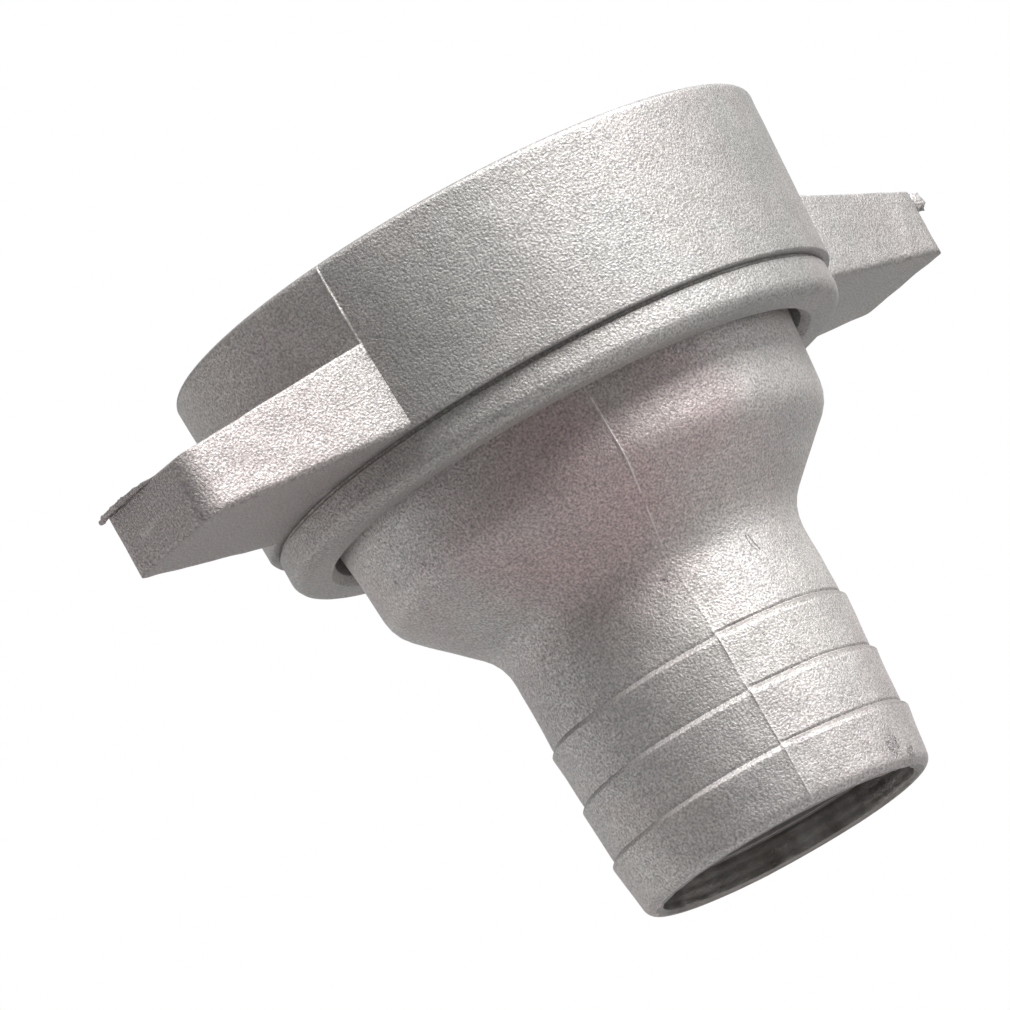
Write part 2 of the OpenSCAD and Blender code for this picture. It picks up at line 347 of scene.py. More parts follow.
def swell(points, wavelength, seed, waves=14):
    """Smooth field of about -1 to 1: plane waves in fixed directions."""
    draw = np.random.default_rng(seed)
    total = np.zeros(points.shape[:-1])
    for _ in range(waves):
        way = draw.normal(size=3)
        way /= np.linalg.norm(way)
        length = wavelength * draw.uniform(0.7, 1.5)
        total += np.sin(points @ way * 2 * math.pi / length + draw.uniform(0, 2 * math.pi))
    return total / math.sqrt(waves)


def uneven(points, layers, seed):
    """Sum of swells given as (height, wavelength), the first with this seed and each next with one more."""
    return sum(height * swell(points, length, seed + k) for k, (height, length) in enumerate(layers))


def seam_left(points, share, seed):
    """How much of a parting line's height is left along it: this share on average, and at most all."""
    return np.clip(share + 0.4 * swell(points, 4, seed), 0, 1)


def in_space(r, z, angle):
    """Points in mm from their radius, height and turn about the axis."""
    return np.stack([r * np.cos(angle), r * np.sin(angle), z], axis=-1)


def turned_places(outline, angles, r_shift, z_shift=None, lean=None):
    """Grid of points from an outline turned about the axis; the shifts work on (r, z, angle) grids.

    The columns lean round the axis by lean(z), so that they follow a leaning seam.
    """
    r, a = np.meshgrid(outline[:, 0], angles, indexing="ij")
    z, _ = np.meshgrid(outline[:, 1], angles, indexing="ij")
    a = a + (lean(z) if lean else 0)
    dz = z_shift(r, z, a) if z_shift else 0
    return in_space(r + r_shift(r, z, a), z + dz, a)


def new_object(name, mesh):
    obj = bpy.data.objects.new(name, mesh)
    bpy.context.scene.collection.objects.link(obj)
    return obj


def grid_object(name, places, close_rows):
    """Object from a grid of points in mm, closed round its columns.

    The rows close round too if asked, and otherwise each end is one face.
    """
    rows, columns = places.shape[:2]
    here = np.arange(rows * columns).reshape(rows, columns)
    ends = [] if close_rows else [here[0][::-1].tolist(), here[-1].tolist()]
    below = np.roll(here, -1, axis=0)
    if not close_rows:
        here, below = here[:-1], below[:-1]
    corners = [here, np.roll(here, -1, axis=1), np.roll(below, -1, axis=1), below]
    faces = np.stack(corners, axis=-1).reshape(-1, 4).tolist() + ends
    mesh = bpy.data.meshes.new(name)
    mesh.from_pydata((places.reshape(-1, 3) * MM).tolist(), [], faces)
    work = bmesh.new()
    work.from_mesh(mesh)
    bmesh.ops.recalc_face_normals(work, faces=work.faces)
    work.to_mesh(mesh)
    work.free()
    return new_object(name, mesh)


def smooth_by_angle(obj, degrees):
    obj.data.shade_smooth()
    obj.data.set_sharp_from_angle(angle=math.radians(degrees))


# The hose tail
def tail_spacing(middle):
    """Closer rows on the barbs than on the bell and the neck."""
    on_barbs = middle[1] < -70
    return 0.55 if on_barbs else 1.1


def is_outside(r, z):
    """1 on the tail's outer surface, 0 in the waterway."""
    return np.where(r > at_depth(z, TAIL_WALL_MIDDLES), 1.0, 0.0)


def seam_lean(z):
    """Turn by which the tail's seam has leaned at a height."""
    return SEAM_LEAN * (-z - SEAM_DEPTH)


def tail_across(z, angle, side):
    """Turn round the tail from the seam on one side."""
    return gap(angle, TAIL_SEAM + seam_lean(z) + side * math.pi)


def clear_of_seat(z, outside):
    """0 on the collar and on the bell inside the nut, which stay true, and 1 below them."""
    return np.where(outside > 0, ramp(-z, 29, 6), ramp(-z, 26, 4))


def mouth_damage(r, z, angle, places):
    """Chips and rough spots on the inner edge of the mouth."""
    edge = ridge(-z - MOUTH_DEPTH, 0.9) * ridge(r - MOUTH_EDGE_R, 0.7)
    damage = uneven(places, MOUTH_SKIN, 21)
    for degrees, depth, width in MOUTH_CHIPS:
        damage = damage + depth * ridge(gap(angle, math.radians(degrees)) * r, width)
    return edge * damage


def tail_r_shift(r, z, angle):
    """Cast skin, the two parting lines, and the worn edge of the mouth."""
    outside = is_outside(r, z)
    on_barbs = ramp(-z, 66, 6)
    places = in_space(r, z, angle)
    shift = uneven(places, TAIL_SKIN, 11)
    for side in (0, 1):
        across = tail_across(z, angle, side) * r
        line = at_depth(z, TAIL_SEAM_HEIGHTS) * seam_left(places, 0.75, 13 + side) * ridge(across, 0.16)
        proud = on_barbs * SEAM_PROUD * np.exp(-np.abs(across) / SEAM_PROUD_REACH)
        shift = shift + outside * line + outside * proud
    shift = shift + mouth_damage(r, z, angle, places)
    return shift * clear_of_seat(z, outside)


def tail_z_shift(r, z, angle):
    """The two mould halves stand a little apart along the axis, which steps the barbs at the seams."""
    on_barbs = ramp(-z, 71, 2.5) * ramp(MOUTH_DEPTH + z, 4, 2.5)
    turn = tail_across(z, angle, 0)
    from_seams = (turn * r, (math.pi - np.abs(turn)) * r)
    half = np.tanh(from_seams[0] / HALVES_STEP_WIDTH) * np.tanh(from_seams[1] / HALVES_STEP_WIDTH)
    wave = uneven(in_space(r, z, angle), BARB_WAVE, 31)
    return is_outside(r, z) * on_barbs * (HALVES_STEP * half + wave)


def make_tail():
    outline = walked(rounded_outline(TAIL_OUTLINE), tail_spacing)
    angles = column_angles(236, (TAIL_SEAM, TAIL_SEAM + math.pi), fine_step=0.0045, fine_columns=12)
    places = turned_places(outline, angles, tail_r_shift, tail_z_shift, seam_lean)
    tail = grid_object("cast_tail", places, close_rows=True)
    smooth_by_angle(tail, CAST_SHARP)
    return tail


# The gasket
def gasket_r_shift(r, z, angle):
    """A mould line round the outer edge and a slightly uneven ring."""
    on_edge = np.where(r > GASKET_R - 0.5, 1, 0)
    line = 0.10 * ridge(z + (GASKET_TOP + GASKET_LOW) / 2, 0.12) * on_edge
    return line + uneven(in_space(r, z, angle), GASKET_SKIN, 41)


def make_gasket():
    outline = walked(rounded_outline(GASKET_OUTLINE), lambda middle: 0.5)
    places = turned_places(outline, column_angles(200), gasket_r_shift)
    gasket = grid_object("rubber_gasket", places, close_rows=True)
    smooth_by_angle(gasket, RUBBER_SHARP)
    return gasket


# The nut
def nut_spacing(middle):
    """Close rows along the thread, which is made by moving them outwards."""
    in_thread = middle[0] < 44.3 and middle[1] > -21.1
    return 0.2 if in_thread else 1.2


def groove_depth(z, angle):
    """How far the thread's groove goes out from the bore: rounded flanks on a helix."""
    phase = (z / THREAD_PITCH - angle / (2 * math.pi)) % 1
    crest = 1 / 6
    flank = np.clip((np.abs(2 * phase - 1) - crest) * 1.5, 0, 1)
    rounded = flank * flank * (3 - 2 * flank)
    return THREAD_DEPTH * (0.6 * flank + 0.4 * rounded)


def nut_r_shift(r, z, angle):
    """The thread, the cast skin, and the parting lines above the lugs."""
    outside = np.where(r > NUT_WALL_MIDDLE_R, 1.0, 0.0)
    places = in_space(r, z, angle)
    shift = outside * ramp(-z, 0, 2) * uneven(places, NUT_SKIN, 51)
    above_lug = ramp(-z, 0.6, 0.6) * np.where(z > -NUT_SEAM_LOW, 1.0, 0.0)
    for k, seam in enumerate(NUT_SEAMS):
        left = NUT_SEAM_HEIGHT * seam_left(places, 0.7, 53 + k)
        shift = shift + outside * above_lug * left * ridge(gap(angle, seam) * r, 0.15)
    in_thread = (r < 44.4) & (z > -21)
    groove = THREAD_MINOR_R + groove_depth(z, angle)
    return np.where(in_thread, np.maximum(groove - r, 0), shift)


def lug_side(x):
    """Half width of the lug in plan at a distance from the axis."""
    return LUG_ROOT_HALF + (LUG_TIP_HALF - LUG_ROOT_HALF) * (x - LUG_ROOT_R) / (LUG_TIP_R - LUG_ROOT_R)


def lug_top(x):
    """Height of the lug's upper side at a distance from the axis."""
    return -LUG_TOP_ROOT - (LUG_TOP_TIP - LUG_TOP_ROOT) * (x - RIM_R) / (LUG_TIP_R - RIM_R)


def lug_section(side_inset, edge_inset, steps=5, across=12, up=10):
    """Points round a lug's section, as (share of half width, share of height, y offset, z offset)."""
    def corner_point(ky, kz, radius, degrees):
        radius = max(radius - max(side_inset, edge_inset), 0.1)
        a = math.radians(degrees)
        return (
            ky, kz, -ky * (radius + side_inset) + radius * math.cos(a),
            (1 - 2 * kz) * (radius + edge_inset) + radius * math.sin(a),
        )

    points = []
    corners = [
        (1, 0, LUG_BOTTOM_ROUND, -90), (1, 1, LUG_TOP_ROUND, 0),
        (-1, 1, LUG_TOP_ROUND, 90), (-1, 0, LUG_BOTTOM_ROUND, 180),
    ]
    for i, (ky, kz, radius, start) in enumerate(corners):
        points += [corner_point(ky, kz, radius, start + 90 * k / steps) for k in range(steps + 1)]
        here = points[-1]
        there = corner_point(*corners[(i + 1) % 4])
        pieces = up if kz != there[1] else across
        for k in range(1, pieces):
            points.append(tuple(p + (q - p) * k / pieces for p, q in zip(here, there)))
    return np.array(points)


def rounding_inset(x, radius):
    """How far a rounded end of this radius stands in at a distance x from the axis."""
    past = np.clip(x - (LUG_TIP_R - radius), 0, radius)
    return radius - math.sqrt(radius ** 2 - past ** 2)


def lug_stations():
    """(way from the start to the tip, inset at the sides, inset at top and bottom) of a lug's sections."""
    body = np.linspace(LUG_START_R, LUG_TIP_R - LUG_CORNER_ROUND, 36)
    corner = LUG_TIP_R - LUG_CORNER_ROUND * (1 - np.sin(np.radians(np.linspace(0, 90, 12))))
    stations = []
    for x in [*body[:-1], *corner]:
        way = (x - LUG_START_R) / (LUG_TIP_R - LUG_START_R)
        stations.append((way, rounding_inset(x, LUG_CORNER_ROUND), rounding_inset(x, LUG_END_ROUND)))
    side, edge = stations[-1][1:]
    return stations + [(1.0, side + extra, edge + extra) for extra in LUG_END_INSETS]


def lug_start_half():
    """Half width of the lug where its sides meet the start radius, found by a few rounds of correction."""
    half = LUG_ROOT_HALF
    for _ in range(8):
        half = lug_side(math.sqrt(LUG_START_R ** 2 - half ** 2))
    return half


def lug_places(seed):
    """Grid of points of one lug along +X, from inside the nut's wall to its end face."""
    start_half = lug_start_half()
    rows = []
    for way, side_inset, edge_inset in lug_stations():
        section = lug_section(side_inset, edge_inset)
        half = start_half + (LUG_TIP_HALF - start_half) * way
        y = section[:, 0] * half + section[:, 2]
        start_y = np.clip(y / half, -1, 1) * start_half
        x = np.sqrt(LUG_START_R ** 2 - start_y ** 2) * (1 - way) + LUG_TIP_R * way
        z = -SKIRT_H + (lug_top(x) + SKIRT_H) * section[:, 1] + section[:, 3]
        rows.append(np.stack([x, y, z], axis=-1))
    places = np.array(rows)
    away = (places - np.array(LUG_MIDDLE)) * (0.12, 1, 1)
    away /= np.linalg.norm(away, axis=-1, keepdims=True)
    lift = uneven(places, LUG_SKIN, seed) * ramp(places[..., 0], 48, 4)
    return places + away * lift[..., None]


def flash_places(flash, seed, around=14, rows=48):
    """Grid of points of a ragged strip of flash on the upper edge of a lug's end."""
    edge = np.array((LUG_TIP_R, 0, lug_top(LUG_TIP_R)))
    path = edge + np.array([place for place, _ in flash])
    sizes = np.array([size for _, size in flash])
    t = np.linspace(0, 1, rows)
    at = np.linspace(0, 1, len(flash))
    centres = np.stack([np.interp(t, at, column) for column in path.T], axis=-1)
    halves = np.stack([np.interp(t, at, column) for column in sizes.T], axis=-1)
    ends = np.sqrt(np.clip(1 - (2 * t - 1) ** 12, 0.02, 1))
    a = np.linspace(0, 2 * math.pi, around, endpoint=False)
    square = np.maximum(np.abs(np.cos(a)), np.abs(np.sin(a))) ** -0.6
    ring = np.stack([np.cos(a) * square, 0 * a, np.sin(a) * square], axis=-1)
    spread = np.stack([halves[:, 0] * ends, ends, halves[:, 1] * ends], axis=-1)
    places = centres[:, None, :] + ring[None] * spread[:, None, :]
    rough = 1 + uneven(places, FLASH_SKIN, seed)
    return centres[:, None, :] + (places - centres[:, None, :]) * rough[..., None]


def half_turn(places):
    """The places turned to the other side of the axis."""
    a = math.radians(180)
    turn = np.array(((math.cos(a), -math.sin(a), 0), (math.sin(a), math.cos(a), 0), (0, 0, 1)))
    return places @ turn.T


def lug_pieces():
    """The two lugs and the flash left on their ends."""
    return [
        grid_object("near_lug", lug_places(61), close_rows=False),
        grid_object("far_lug", half_turn(lug_places(71)), close_rows=False),
        grid_object("near_burr", flash_places(NEAR_FLASH, 81), close_rows=False),
        grid_object("far_burr", half_turn(flash_places(FAR_FLASH, 83)), close_rows=False),
    ]


def join_solids(base, others):
    """One closed mesh from overlapping closed meshes."""
    for other in others:
        modifier = base.modifiers.new(other.name, "BOOLEAN")
        modifier.operation = "UNION"
        modifier.solver = "EXACT"
        modifier.object = other
    bpy.context.view_layer.update()
    joined = bpy.data.meshes.new_from_object(base.evaluated_get(bpy.context.evaluated_depsgraph_get()))
    base.modifiers.clear()
    base.data = joined
    for other in others:
        bpy.data.objects.remove(other)


def make_nut():
    outline = walked(rounded_outline(NUT_OUTLINE), nut_spacing)
    angles = column_angles(244, NUT_SEAMS, fine_step=0.0022, fine_columns=9)
    nut = grid_object("cast_nut", turned_places(outline, angles, nut_r_shift), close_rows=True)
    join_solids(nut, lug_pieces())
    smooth_by_angle(nut, CAST_SHARP)
    return nut


# Materials
def colour(r, g, b):
    return (r, g, b, 1.0)


# Tints of each casting: cool, warm and rosy
NUT_TINTS = (colour(0.49, 0.48, 0.465), colour(0.54, 0.515, 0.50), colour(0.47, 0.43, 0.42))
TAIL_TINTS = (colour(0.59, 0.57, 0.56), colour(0.635, 0.61, 0.59), colour(0.61, 0.50, 0.495))
NUT_GRAIN_DEPTH = 0.14
TAIL_GRAIN_DEPTH = 0.13
# Painted highlight on sharp outer edges
EDGE_PAINTED_HIGHLIGHT = colour(0.74, 0.72, 0.70)
# Painted shade in hollows and creases
HOLLOW_PAINTED_SHADE = colour(0.16, 0.145, 0.135)
BRIGHT_SEAM = colour(0.80, 0.78, 0.76)
PIT_AND_SHADE_DARK = colour(0.09, 0.08, 0.075)
# Colours of the waterway inside the tail: painted shade, darker than the casting outside
WATERWAY_SHADE_DARK = colour(0.26, 0.235, 0.22)
WATERWAY_SHADE_LIGHT = colour(0.40, 0.385, 0.37)
LATHE_DARK = colour(0.60, 0.59, 0.585)
LATHE_LIGHT = colour(0.74, 0.73, 0.725)
RUBBER_BLACK = colour(0.012, 0.012, 0.013)
RUBBER_BLOOM = colour(0.05, 0.05, 0.052)
STAGE_WHITE = colour(0.8, 0.8, 0.8)
PLAIN_WHITE = colour(1, 1, 1)
# Range that nearly all of a noise's values lie in: for fine grain and for broad patches
GRAIN_RANGE = (0.28, 0.72)
PATCH_RANGE = (0.3, 0.7)
# Widths of the parting lines, and the mean radius of the bell along its own
CAST_LINE = 0.22
BARB_LINE = 0.20
BELL_LINE_R = 37.5
# Duller patch on the near lug: turn in degrees, depth, radius, size and strength
DULL_LUG = (0, 23, 68, 38)
DULL_LUG_SHARE = 0.85
# The leaf-shaped scar on the neck: its turn, depth and lean, and each line's bend and shift
LEAF_TURN = math.radians(90)
LEAF_DEPTH = 64.3
LEAF_LEAN = -0.3
LEAF_LINES = ((0.16, -0.35), (0.05, 0.40))
# Distance of the painted shade below the foot of a barb
PAINTED_SHADE_BELOW = 0.30
# Spacing of the core's rings in the waterway and of the lathe's grooves
CORE_RING = 1.7
LATHE_GROOVE = 0.16


class Tree:
    """Short calls for building a material's node tree."""

    def __init__(self, name):
        self.material = bpy.data.materials.new(name)
        self.material.use_nodes = True
        self.tree = self.material.node_tree
        self.tree.nodes.clear()
        self.surface = self.add("ShaderNodeOutputMaterial").inputs["Surface"]

    def add(self, kind, **settings):
        node = self.tree.nodes.new(kind)
        for key, value in settings.items():
            setattr(node, key, value)
        return node

    def link(self, source, target):
        self.tree.links.new(source, target)

    def feed(self, socket, value):
        if isinstance(value, bpy.types.NodeSocket):
            self.link(value, socket)
        elif value is not None:
            socket.default_value = value

    def math(self, operation, a, b=None, c=None):
        node = self.add("ShaderNodeMath", operation=operation)
        for socket, value in zip(node.inputs, (a, b, c)):
            self.feed(socket, value)
        return node.outputs[0]


class Surface(Tree):
    """A node tree with one Principled shader and patterns that lie on the piece."""

    def __init__(self, name):
        super().__init__(name)
        self.shader = self.add("ShaderNodeBsdfPrincipled")
        self.link(self.shader.outputs[0], self.surface)
        self.place = self.add("ShaderNodeTexCoord").outputs["Object"]

    def finish(self, colour, roughness, normal, metallic):
        self.link(colour, self.shader.inputs["Base Color"])
        self.link(roughness, self.shader.inputs["Roughness"])
        self.link(normal, self.shader.inputs["Normal"])
        self.shader.inputs["Metallic"].default_value = metallic
        return self.material

    def noise(self, size, detail=2.0, roughness=0.5, distortion=0.0):
        """Noise whose features are about size mm across, from 0 to 1."""
        node = self.add("ShaderNodeTexNoise")
        self.link(self.place, node.inputs["Vector"])
        node.inputs["Scale"].default_value = 1 / (size * MM)
        node.inputs["Detail"].default_value = detail
        node.inputs["Roughness"].default_value = roughness
        node.inputs["Distortion"].default_value = distortion
        return node.outputs["Fac"]

    def spread(self, value, low, high, to_low=0.0, to_high=1.0):
        """Value mapped from one range to another, and held there."""
        node = self.add("ShaderNodeMapRange")
        self.feed(node.inputs["Value"], value)
        for key, number in (("From Min", low), ("From Max", high), ("To Min", to_low), ("To Max", to_high)):
            node.inputs[key].default_value = number
        return node.outputs["Result"]

    def mix(self, share, a, b):
        """Colour a where the share is 0, and b where it is 1. The node's colour sockets go by number."""
        node = self.add("ShaderNodeMix", data_type="RGBA")
        for socket, value in ((0, share), (6, a), (7, b)):
            self.feed(node.inputs[socket], value)
        return node.outputs[2]

    def scaled(self, tint, shade):
        node = self.add("ShaderNodeVectorMath", operation="SCALE")
        self.feed(node.inputs[0], tint)
        self.feed(node.inputs["Scale"], shade)
        return node.outputs[0]

    def bump(self, height, depth, below=None):
        """Normal of a relief this many mm deep, on top of the relief below."""
        node = self.add("ShaderNodeBump")
        node.inputs["Strength"].default_value = 1.0
        node.inputs["Distance"].default_value = depth * MM
        self.feed(node.inputs["Height"], height)
        self.feed(node.inputs["Normal"], below)
        return node.outputs[0]

    def split(self):
        """The x, y and z of the place on the piece, in metres."""
        node = self.add("ShaderNodeSeparateXYZ")
        self.link(self.place, node.inputs[0])
        return node.outputs

    def depth(self):
        """Depth below the nut's rim, in mm."""
        return self.math("MULTIPLY", self.split()[2], -1 / MM)

    def spot(self, degrees, depth, r, size):
        """1 inside a small ball round a point on the piece, given by its turn, depth and radius in mm."""
        a = math.radians(degrees)
        node = self.add("ShaderNodeVectorMath", operation="DISTANCE")
        self.link(self.place, node.inputs[0])
        node.inputs[1].default_value = (r * math.cos(a) * MM, r * math.sin(a) * MM, -depth * MM)
        return self.spread(node.outputs["Value"], 0.5 * size * MM, size * MM, 1, 0)

    def across_seam(self, angle, lean, mean_r):
        """Distance in mm round the piece from a seam at this angle that leans by so many radians a mm."""
        x, y, z = self.split()
        turn = self.math("ARCTAN2", y, x)
        line = self.math("MULTIPLY_ADD", z, -lean / MM, angle - SEAM_DEPTH * lean)
        off = self.math("WRAP", self.math("SUBTRACT", turn, line), math.pi, -math.pi)
        return self.math("MULTIPLY", off, mean_r)

    def parting_line(self, angle, lean, mean_r, width, broken):
        """1 on a thin line along a seam, broken up by a noise."""
        off = self.math("ABSOLUTE", self.across_seam(angle, lean, mean_r))
        line = self.spread(off, 0.4 * width, width, 1, 0)
        return self.math("MULTIPLY", line, self.spread(broken, 0.36, 0.46))

    def pits(self, cell, radius, share):
        """1 inside sparse round pits: this share of the cells has one."""
        node = self.add("ShaderNodeTexVoronoi")
        self.link(self.place, node.inputs["Vector"])
        node.inputs["Scale"].default_value = 1 / (cell * MM)
        hole = self.spread(node.outputs["Distance"], radius / cell * 0.6, radius / cell, 1, 0)
        parts = self.add("ShaderNodeSeparateColor")
        self.link(node.outputs["Color"], parts.inputs[0])
        chosen = self.math("LESS_THAN", parts.outputs[0], share)
        return self.math("MULTIPLY", hole, chosen)


def casting_material(n, tints, grain_depth, blush, seam, marks):
    """Shot-blasted cast aluminium: fine peened grain, slow colour drift, pits, and a brighter parting line.

    blush, seam and marks are sockets or numbers from 0 to 1: where the rosy tint, the parting line and
    the scars are; on the tail the marks also hold painted shade in the steps of the barbs.
    """
    cool, warm, rosy = tints
    drift = n.noise(34, 3, 0.55)
    tint = n.mix(n.spread(drift, 0.40, 0.62), cool, warm)
    tint = n.mix(blush, tint, rosy)
    grain = n.noise(0.38, 1.5, 0.5)
    patch = n.noise(5.5, 3, 0.6)
    patchy = n.spread(patch, *PATCH_RANGE, 0.95, 1.04)
    shade = n.math("MULTIPLY", n.spread(grain, *GRAIN_RANGE, 0.68, 1.24), patchy)
    edge = n.add("ShaderNodeNewGeometry").outputs["Pointiness"]
    # Painted highlight: sharp outer edges, found by the pointiness, are mixed towards a lighter colour
    base = n.mix(n.spread(edge, 0.53, 0.60, 0, 0.30), n.scaled(tint, shade), EDGE_PAINTED_HIGHLIGHT)
    # Painted shade: hollows and creases, found by the pointiness, are mixed towards a dark colour
    base = n.mix(n.spread(edge, 0.38, 0.46, 0.35, 0), base, HOLLOW_PAINTED_SHADE)
    base = n.mix(n.math("MULTIPLY", seam, 0.8), base, BRIGHT_SEAM)
    pit = n.math("MAXIMUM", n.pits(11, 0.30, 0.25), n.pits(3.8, 0.14, 0.15))
    # Pits, scars and, on the tail, painted shade in the barbs' steps, all mixed towards one dark colour
    scar_and_painted_shade = n.math("MAXIMUM", pit, marks)
    base = n.mix(n.math("MULTIPLY", scar_and_painted_shade, 0.7), base, PIT_AND_SHADE_DARK)
    roughness = n.math("MULTIPLY", n.spread(grain, *GRAIN_RANGE, 0.72, 0.61), patchy)
    cast = n.bump(n.noise(3.2, 2, 0.5), 0.10)
    peened = n.bump(grain, grain_depth, cast)
    return n.finish(base, roughness, n.bump(scar_and_painted_shade, -0.20, peened), metallic=1.0)


def nut_material():
    n = Surface("nut_casting")
    broken = n.noise(2.2, 2, 0.5)
    seam = 0.0
    for angle in NUT_SEAMS:
        seam = n.math("MAXIMUM", n.parting_line(angle, 0, RIM_R, CAST_LINE, broken), seam)
    seam = n.math("MULTIPLY", seam, n.spread(n.depth(), 14.5, 15.5, 1, 0))
    dull_lug = n.math("MULTIPLY", n.spot(*DULL_LUG), DULL_LUG_SHARE)
    blush = n.math("MAXIMUM", n.spread(n.noise(24, 1, 0.5, 0.6), 0.50, 0.72, 0, 0.4), dull_lug)
    return casting_material(n, NUT_TINTS, NUT_GRAIN_DEPTH, blush, seam, 0.0)


def leaf_mark(n):
    """A small curved scar on the neck, two thin lines side by side."""
    across = n.across_seam(LEAF_TURN, 0, NECK_R)
    down = n.math("SUBTRACT", n.depth(), LEAF_DEPTH)
    leaning = n.math("MULTIPLY_ADD", down, LEAF_LEAN, across)
    mark = 0.0
    for bend, shift in LEAF_LINES:
        curve = n.math("MULTIPLY_ADD", n.math("MULTIPLY", down, down), bend, shift)
        line = n.spread(n.math("ABSOLUTE", n.math("SUBTRACT", leaning, curve)), 0.05, 0.16, 1, 0)
        mark = n.math("MAXIMUM", line, mark)
    return n.math("MULTIPLY", mark, n.spread(n.math("ABSOLUTE", down), 1.3, 1.7, 0.6, 0))


def barb_painted_shade(n):
    """Painted shade in the steps of the barbs on one mould half: a dark band just below the foot of each
    step.
    """
    half = n.spread(n.across_seam(TAIL_SEAM, SEAM_LEAN, NECK_R), 0.3, 1.2)
    depth = n.depth()
    step_shade = 0.0
    for barb in BARBS:
        off = n.math("ABSOLUTE", n.math("SUBTRACT", depth, barb + PAINTED_SHADE_BELOW))
        step_shade = n.math("MAXIMUM", n.spread(off, 0.35, 0.85, 0.56, 0), step_shade)
    return n.math("MULTIPLY", step_shade, half)


def tail_seams(n):
    """The bright parting line on both sides, clear on the bell and faint on the barbs."""
    broken = n.noise(2.2, 2, 0.5)
    depth = n.depth()
    seam = 0.0
    for side in (0, 1):
        angle = TAIL_SEAM + side * math.pi
        bell = n.parting_line(angle, SEAM_LEAN, BELL_LINE_R, CAST_LINE, broken)
        barbs = n.parting_line(angle, SEAM_LEAN, NECK_R, BARB_LINE, broken)
        on_bell = n.math("MULTIPLY", n.spread(depth, 57, 60, 1, 0), bell)
        on_barbs = n.math("MULTIPLY", n.spread(depth, 72, 75, 0, 0.35), barbs)
        seam = n.math("MAXIMUM", n.math("MAXIMUM", on_bell, on_barbs), seam)
    return seam


def tail_blush(n):
    """Where the tail is rosy: a slow drift all over and a few patches."""
    drift = n.noise(24, 1, 0.5, 0.6)
    blush = n.spread(drift, 0.48, 0.70, 0, 0.35)
    for turn, down, size, share in TAIL_BLUSHES:
        strength = n.spread(drift, 0.3, 0.6, 0.5 * share, share)
        patch = n.math("MULTIPLY", n.spot(turn, down, BELL_R, size), strength)
        blush = n.math("MAXIMUM", patch, blush)
    return blush


def tail_marks_and_shade(n):
    """Ragged dark spots, the leaf-shaped scar and the painted shade in the steps of the barbs."""
    spots = 0.0
    for spot in TAIL_SPOTS:
        spots = n.math("MAXIMUM", n.spot(*spot), spots)
    ragged = n.spread(n.noise(0.5, 3, 0.65), 0.46, 0.60, 0.2, 0.9)
    marks = n.math("MAXIMUM", leaf_mark(n), n.math("MULTIPLY", spots, ragged))
    return n.math("MAXIMUM", marks, barb_painted_shade(n))


def tail_material():
    n = Surface("tail_casting")
    return casting_material(n, TAIL_TINTS, TAIL_GRAIN_DEPTH, tail_blush(n), tail_seams(n), tail_marks_and_shade(n))


def waterway_shade_material():
    """Inside of the tail, with faint rings from the core, and darker and greyer than the outside by painted
    shade.
    """
    n = Surface("waterway_painted_shade")
    patch = n.noise(4.5, 3, 0.6)
    ring = n.math("SINE", n.math("MULTIPLY", n.split()[2], 2 * math.pi / (CORE_RING * MM)))
    faint = n.spread(ring, -1, 1, 0.90, 1.06)
    shade = n.math("MULTIPLY", n.spread(patch, *PATCH_RANGE, 0.80, 1.12), faint)
    base = n.scaled(n.mix(patch, WATERWAY_SHADE_DARK, WATERWAY_SHADE_LIGHT), shade)
    roughness = n.spread(patch, *PATCH_RANGE, 0.42, 0.60)
    grain = n.bump(n.noise(0.5, 2, 0.5), 0.08)
    return n.finish(base, roughness, n.bump(ring, 0.02, grain), metallic=1.0)


def turned_material():
    """Aluminium cut on a lathe: bright, with fine grooves round the axis."""
    n = Surface("turned_thread")
    x, y, z = n.split()
    radius = n.math("SQRT", n.math("ADD", n.math("POWER", x, 2.0), n.math("POWER", y, 2.0)))
    feed = n.math("ADD", radius, z)
    line = n.math("SINE", n.math("MULTIPLY", feed, 2 * math.pi / (LATHE_GROOVE * MM)))
    patch = n.noise(7, 3, 0.6)
    base = n.scaled(n.mix(patch, LATHE_DARK, LATHE_LIGHT), n.spread(line, -1, 1, 0.93, 1.03))
    roughness = n.spread(patch, *PATCH_RANGE, 0.26, 0.38)
    grain = n.bump(n.noise(0.6, 2, 0.5), 0.02)
    return n.finish(base, roughness, n.bump(line, 0.006, grain), metallic=1.0)


def rubber_material():
    """Black moulded rubber with a dull bloom."""
    n = Surface("black_rubber")
    bloom = n.noise(6, 4, 0.6)
    base = n.mix(n.spread(bloom, 0.42, 0.72, 0, 0.5), RUBBER_BLACK, RUBBER_BLOOM)
    roughness = n.spread(bloom, *PATCH_RANGE, 0.46, 0.70)
    n.shader.inputs["Specular IOR Level"].default_value = 0.4
    skin = n.bump(n.noise(0.8, 3, 0.6), 0.05)
    return n.finish(base, roughness, n.bump(n.noise(5, 2, 0.5), 0.12, skin), metallic=0.0)


